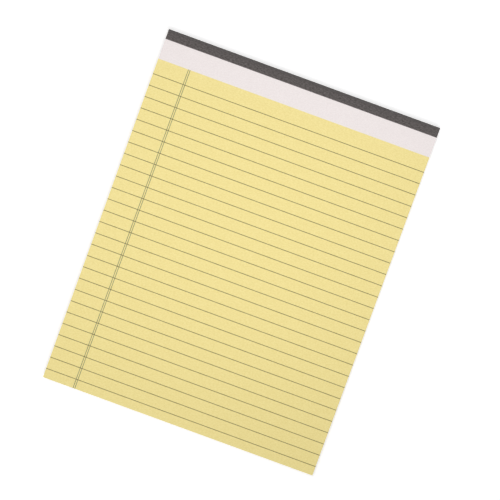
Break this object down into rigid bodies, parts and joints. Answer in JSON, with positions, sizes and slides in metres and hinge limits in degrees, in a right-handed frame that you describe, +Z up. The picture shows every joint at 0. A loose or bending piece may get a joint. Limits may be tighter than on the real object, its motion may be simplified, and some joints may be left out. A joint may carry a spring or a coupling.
{
  "type": "legal pad",
  "caption": "Top-bound pad of yellow ruled writing sheets on a chipboard back, with a white head, a double margin line and dark binding tape folded over the head.",
  "frame": {"origin": "middle of the pad's underside, on the surface that it lies on", "axes": "+X across the pad to the reader's right, +Y along it towards the bound head, +Z up out of the top sheet"},
  "size_m": [0.203, 0.28, 0.0057],
  "materials": {
    "white_paper": "uncoated",
    "chipboard": "uncoated",
    "binding_tape": "matte, fine grain",
    "stitching_wire": "drawn",
    "yellow_ink": "printed on uncoated paper",
    "rule_ink": "printed on uncoated paper",
    "margin_ink": "printed on uncoated paper"
  },
  "bodies": {
    "root": {"ruled_sheets": "white_paper", "backing_board": "chipboard", "binding_tape": "binding_tape", "wire_stitches": "stitching_wire", "yellow_tint": "yellow_ink", "rule_lines": "rule_ink", "margin_lines": "margin_ink"}
  },
  "joints": []
}
